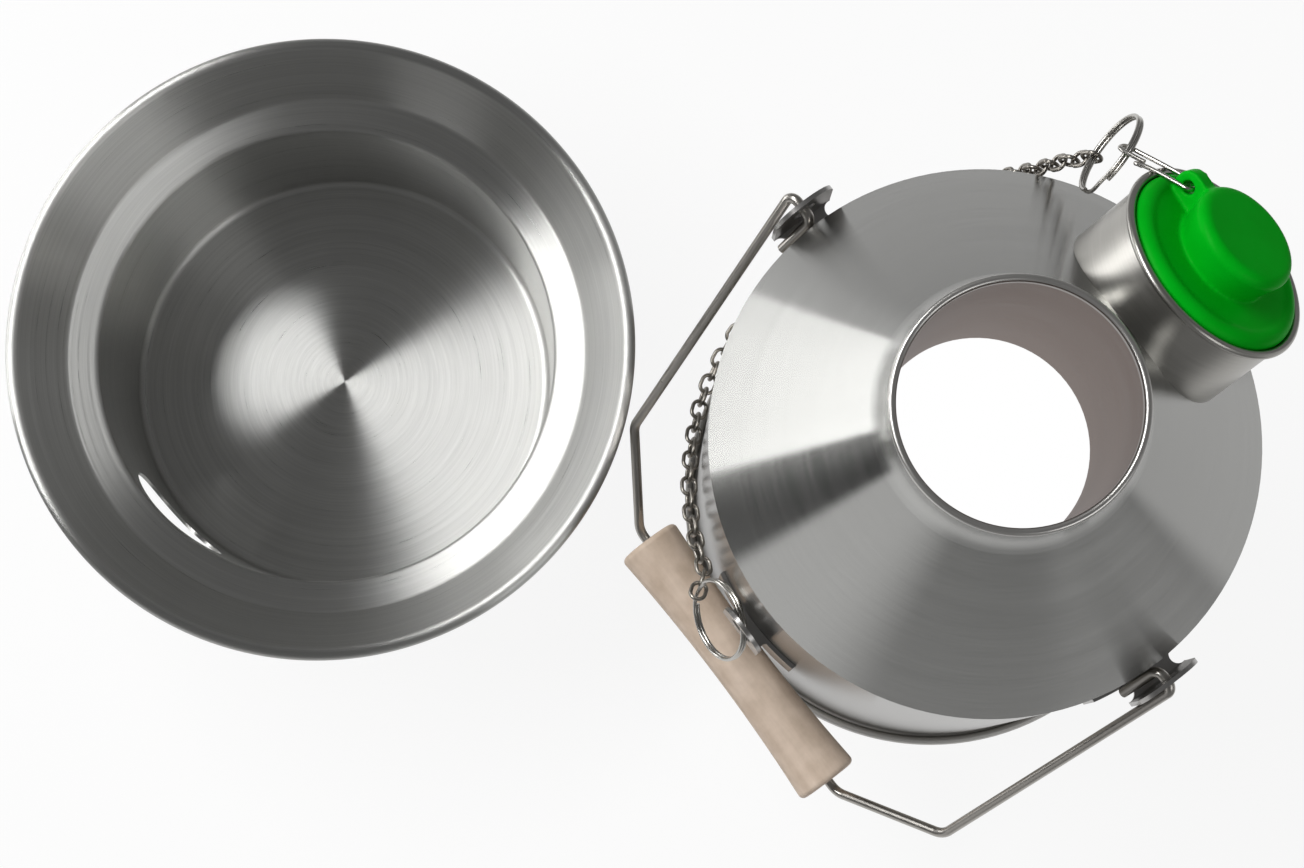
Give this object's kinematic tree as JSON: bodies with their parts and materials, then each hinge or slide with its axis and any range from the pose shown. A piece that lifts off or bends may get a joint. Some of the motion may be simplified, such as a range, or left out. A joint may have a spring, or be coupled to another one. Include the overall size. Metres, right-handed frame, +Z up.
{
  "type": "storm kettle",
  "caption": "Storm kettle with a flue through its water jacket, a bail with a wooden grip, a stopper on a chain, and the loose fire base it stands on.",
  "frame": {"origin": "centre of the kettle's fire mouth, in the plane of the foot that stands on the floor", "axes": "+Z up along the flue, +X toward the spout, +Y toward the bail's left ear; the fire base stands beside the kettle at -X, +Y"},
  "size_m": [0.2967, 0.3091, 0.219],
  "materials": {
    "wall_steel": "polished sheet",
    "cone_steel": "spun, brushed round the axis",
    "flue_steel": "drawn tube, dull",
    "ear_steel": "bent sheet, satin",
    "bright_wire": "bright drawn wire",
    "grip_wood": "turned, bare",
    "green_silicone": "moulded, satin",
    "base_steel": "spun, brushed round the axis"
  },
  "bodies": {
    "kettle": {"outer_wall": "wall_steel", "shoulder_cone": "cone_steel", "flue_tube": "flue_steel", "fire_cone": "flue_steel", "spout_tube": "wall_steel", "bail_ear_left": "ear_steel", "bail_ear_right": "ear_steel", "tipping_ear": "ear_steel", "chain_back": "bright_wire"},
    "bail": {"bail_wire": "bright_wire"},
    "grip": {"grip": "grip_wood"},
    "stopper": {"stopper": "green_silicone", "stopper_clip": "bright_wire", "stopper_ring": "bright_wire", "chain_upper": "bright_wire"},
    "tipping_ring": {"tipping_ring": "bright_wire", "chain_lower": "bright_wire"},
    "fire_base": {"fire_base": "base_steel"}
  },
  "joints": [
    {"name": "bail_swing", "type": "hinge", "parent": "kettle", "child": "bail", "pos_m": [0, 0, 0.146], "axis": [0, 1, 0], "range_deg": [0, 275]},
    {"name": "grip_spin", "type": "hinge", "parent": "bail", "child": "grip", "pos_m": [-0.0796, -0.0049, 0.05527], "axis": [0, 1, 0], "continuous": true},
    {"name": "stopper_pull", "type": "slide", "parent": "kettle", "child": "stopper", "axis": [0.682, 0, 0.7314], "range_m": [0, 0.016], "deforming": ["chain_upper"]},
    {"name": "tipping_ring_swing", "type": "hinge", "parent": "kettle", "child": "tipping_ring", "pos_m": [-0.0761, -0.0005, 0.1], "axis": [0.4982, 0.7487, 0.4373], "range_deg": [0, 40], "deforming": ["chain_lower"]},
    {"name": "base_lift", "type": "slide", "parent": "kettle", "child": "fire_base", "axis": [0, 0, 1], "range_m": [0, 0.08]}
  ]
}
